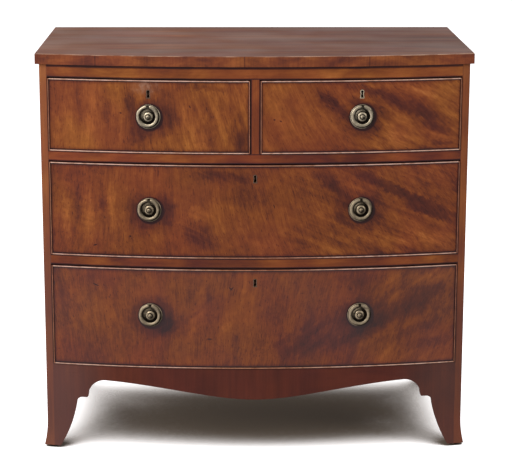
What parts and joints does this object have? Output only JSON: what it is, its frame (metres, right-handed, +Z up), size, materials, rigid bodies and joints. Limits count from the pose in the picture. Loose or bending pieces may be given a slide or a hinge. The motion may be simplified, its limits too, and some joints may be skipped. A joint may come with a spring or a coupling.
{
  "type": "chest of drawers",
  "caption": "Bow front chest of drawers with short drawers over long ones, cockbeaded fronts, brass ring handles, a shaped apron and splayed bracket feet.",
  "frame": {"origin": "bottom centre of the bounding box, on the floor under the middle of the chest", "axes": "+Z up, front towards -Y, +X to the right seen from the front"},
  "size_m": [0.916, 0.5329, 0.86],
  "materials": {
    "mahogany_top": "french polished, faded",
    "mahogany_case": "french polished",
    "mahogany_front": "french polished flame veneer",
    "mahogany_bead": "french polished",
    "oak": "raw, aged",
    "pine": "raw, aged",
    "brass": "aged",
    "lock_brass": "dull",
    "pad": "matte"
  },
  "bodies": {
    "carcase": {"top_board": "mahogany_top", "side_panel_left": "mahogany_case", "side_panel_right": "mahogany_case", "bottom_board": "pine", "top_rails": "mahogany_case", "upper_divider": "mahogany_case", "lower_divider": "mahogany_case", "centre_muntin": "mahogany_case", "dustboards": "pine", "runners_and_stops": "pine", "back_boards": "pine", "apron": "mahogany_case", "front_foot_left": "mahogany_case", "front_foot_right": "mahogany_case", "rear_foot_left": "mahogany_case", "rear_foot_right": "mahogany_case", "foot_blocks": "pine", "foot_pads": "pad"},
    "drawer_short_left": {"short_drawer_left_front": "mahogany_front", "short_drawer_left_cockbead": "mahogany_bead", "short_drawer_left_sides": "oak", "short_drawer_left_back": "oak", "short_drawer_left_bottom": "oak", "short_drawer_left_lock": "lock_brass", "short_drawer_left_escutcheon": "brass", "short_drawer_left_handle_plates": "brass"},
    "bolt_short_left": {"short_drawer_left_lock_bolt": "lock_brass"},
    "ring_short_left": {"short_drawer_left_ring": "brass"},
    "drawer_short_right": {"short_drawer_right_front": "mahogany_front", "short_drawer_right_cockbead": "mahogany_bead", "short_drawer_right_sides": "oak", "short_drawer_right_back": "oak", "short_drawer_right_bottom": "oak", "short_drawer_right_lock": "lock_brass", "short_drawer_right_escutcheon": "brass", "short_drawer_right_handle_plates": "brass"},
    "bolt_short_right": {"short_drawer_right_lock_bolt": "lock_brass"},
    "ring_short_right": {"short_drawer_right_ring": "brass"},
    "drawer_long_upper": {"long_drawer_upper_front": "mahogany_front", "long_drawer_upper_cockbead": "mahogany_bead", "long_drawer_upper_sides": "oak", "long_drawer_upper_back": "oak", "long_drawer_upper_bottom": "oak", "long_drawer_upper_lock": "lock_brass", "long_drawer_upper_escutcheon": "brass", "long_drawer_upper_handle_plates": "brass"},
    "bolt_long_upper": {"long_drawer_upper_lock_bolt": "lock_brass"},
    "ring_upper_left": {"long_drawer_upper_ring_left": "brass"},
    "ring_upper_right": {"long_drawer_upper_ring_right": "brass"},
    "drawer_long_lower": {"long_drawer_lower_front": "mahogany_front", "long_drawer_lower_cockbead": "mahogany_bead", "long_drawer_lower_sides": "oak", "long_drawer_lower_back": "oak", "long_drawer_lower_bottom": "oak", "long_drawer_lower_lock": "lock_brass", "long_drawer_lower_escutcheon": "brass", "long_drawer_lower_handle_plates": "brass"},
    "bolt_long_lower": {"long_drawer_lower_lock_bolt": "lock_brass"},
    "ring_lower_left": {"long_drawer_lower_ring_left": "brass"},
    "ring_lower_right": {"long_drawer_lower_ring_right": "brass"}
  },
  "joints": [
    {"name": "short_drawer_left_slide", "type": "slide", "parent": "carcase", "child": "drawer_short_left", "axis": [0, -1, 0], "range_m": [0, 0.36]},
    {"name": "short_drawer_left_bolt_slide", "type": "slide", "parent": "drawer_short_left", "child": "bolt_short_left", "axis": [0, 0, 1], "range_m": [0, 0.008]},
    {"name": "short_drawer_left_ring_hinge", "type": "hinge", "parent": "drawer_short_left", "child": "ring_short_left", "pos_m": [-0.22269, -0.25281, 0.7534], "axis": [-0.9941, 0.1083, 0], "range_deg": [0, 100]},
    {"name": "short_drawer_right_slide", "type": "slide", "parent": "carcase", "child": "drawer_short_right", "axis": [0, -1, 0], "range_m": [0, 0.36]},
    {"name": "short_drawer_right_bolt_slide", "type": "slide", "parent": "drawer_short_right", "child": "bolt_short_right", "axis": [0, 0, 1], "range_m": [0, 0.008]},
    {"name": "short_drawer_right_ring_hinge", "type": "hinge", "parent": "drawer_short_right", "child": "ring_short_right", "pos_m": [0.22269, -0.25281, 0.7534], "axis": [-0.9941, -0.1083, 0], "range_deg": [0, 100]},
    {"name": "long_drawer_upper_slide", "type": "slide", "parent": "carcase", "child": "drawer_long_upper", "axis": [0, -1, 0], "range_m": [0, 0.36]},
    {"name": "long_drawer_upper_bolt_slide", "type": "slide", "parent": "drawer_long_upper", "child": "bolt_long_upper", "axis": [0, 0, 1], "range_m": [0, 0.008]},
    {"name": "long_drawer_upper_ring_left_hinge", "type": "hinge", "parent": "drawer_long_upper", "child": "ring_upper_left", "pos_m": [-0.22269, -0.25281, 0.5556], "axis": [-0.9941, 0.1083, 0], "range_deg": [0, 100]},
    {"name": "long_drawer_upper_ring_right_hinge", "type": "hinge", "parent": "drawer_long_upper", "child": "ring_upper_right", "pos_m": [0.22269, -0.25281, 0.5556], "axis": [-0.9941, -0.1083, 0], "range_deg": [0, 100]},
    {"name": "long_drawer_lower_slide", "type": "slide", "parent": "carcase", "child": "drawer_long_lower", "axis": [0, -1, 0], "range_m": [0, 0.36]},
    {"name": "long_drawer_lower_bolt_slide", "type": "slide", "parent": "drawer_long_lower", "child": "bolt_long_lower", "axis": [0, 0, 1], "range_m": [0, 0.008]},
    {"name": "long_drawer_lower_ring_left_hinge", "type": "hinge", "parent": "drawer_long_lower", "child": "ring_lower_left", "pos_m": [-0.22269, -0.25281, 0.3266], "axis": [-0.9941, 0.1083, 0], "range_deg": [0, 100]},
    {"name": "long_drawer_lower_ring_right_hinge", "type": "hinge", "parent": "drawer_long_lower", "child": "ring_lower_right", "pos_m": [0.22269, -0.25281, 0.3266], "axis": [-0.9941, -0.1083, 0], "range_deg": [0, 100]}
  ]
}
